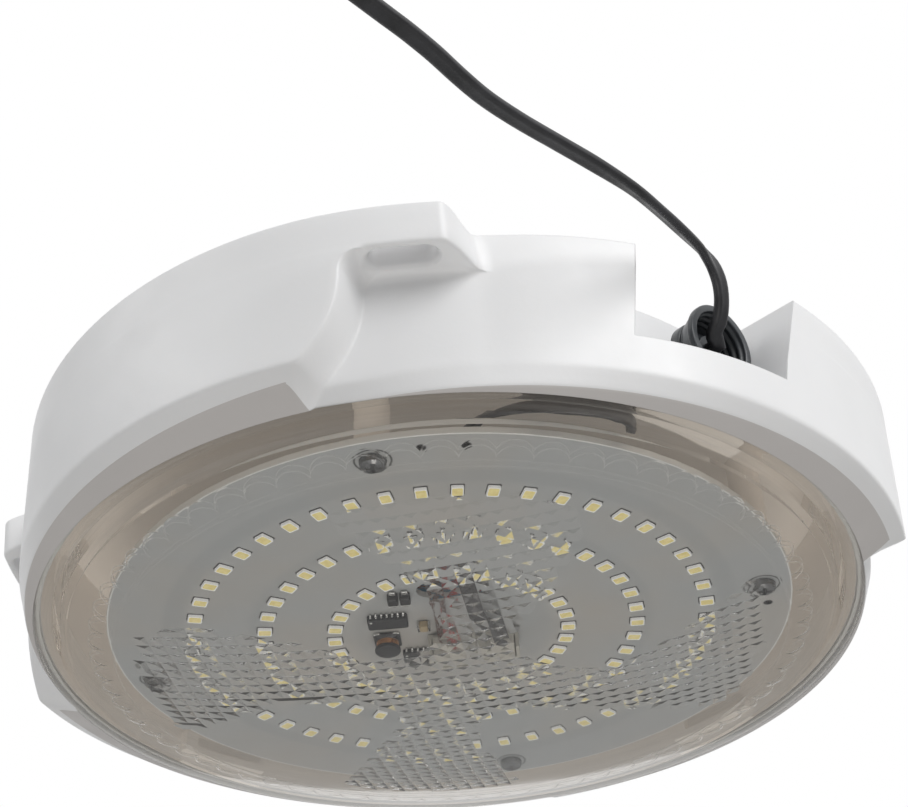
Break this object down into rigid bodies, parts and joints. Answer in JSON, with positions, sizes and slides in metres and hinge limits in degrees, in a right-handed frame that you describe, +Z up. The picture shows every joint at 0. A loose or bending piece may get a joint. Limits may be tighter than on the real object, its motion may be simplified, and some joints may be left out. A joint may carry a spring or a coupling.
{
  "type": "solar ceiling light",
  "caption": "Round ceiling light with a clear prismatic twist-on cover, an LED board, a battery and a socket for a solar panel's lead.",
  "frame": {"origin": "centre of the drum on the ceiling plane", "axes": "+Z up into the ceiling, -Y towards the viewer, X to the right"},
  "size_m": [0.2294, 0.3161, 0.055],
  "materials": {
    "white_plastic": "satin moulded white",
    "clear_plastic": "clear moulded prisms",
    "seal_rubber": "matte light grey",
    "board_grey": "grey coated board",
    "led_yellow": "yellow phosphor in white frames",
    "screw_steel": "zinc plated",
    "black_plastic": "matte black",
    "chip_black": "matte black moulded",
    "capacitor_tan": "ceramic tan",
    "connector_white": "off-white nylon",
    "wire_red": "red wire cover",
    "wire_brown": "dark brown wire cover",
    "cell_wrap": "blue shrink wrap",
    "nickel": "plain nickel",
    "tray_white": "matte white",
    "cable_black": "matte black cover"
  },
  "bodies": {
    "fixed_light": {"battery_cell_1": "cell_wrap", "battery_cell_2": "cell_wrap", "battery_plug": "connector_white", "battery_socket": "connector_white", "battery_tray": "tray_white", "battery_wire_black": "wire_brown", "battery_wire_red": "wire_red", "board_screw_1": "screw_steel", "board_screw_2": "screw_steel", "board_screw_3": "screw_steel", "board_screw_4": "screw_steel", "cable_plug": "black_plastic", "ceiling_outlet": "white_plastic", "cell_strip_minus": "nickel", "cell_strip_plus": "nickel", "controller_chip": "chip_black", "cover_gasket": "seal_rubber", "diode_pair": "chip_black", "driver_chip": "chip_black", "filter_capacitor": "capacitor_tan", "housing": "white_plastic", "internal_lead": "cable_black", "led_board": "board_grey", "led_ring_inner": "led_yellow", "led_ring_middle": "led_yellow", "led_ring_outer": "led_yellow", "power_inductor": "chip_black", "socket_cup": "black_plastic", "socket_nut": "black_plastic", "solar_cable": "cable_black", "solar_plug": "connector_white", "solar_socket": "connector_white", "tray_screw_1": "screw_steel", "tray_screw_2": "screw_steel"},
    "cover": {"clear_cover": "clear_plastic"}
  },
  "joints": [
    {"name": "cover_twist", "type": "hinge", "parent": "fixed_light", "child": "cover", "pos_m": [0, 0, -0.04], "axis": [0, 0, -1], "range_deg": [0, 18]}
  ]
}
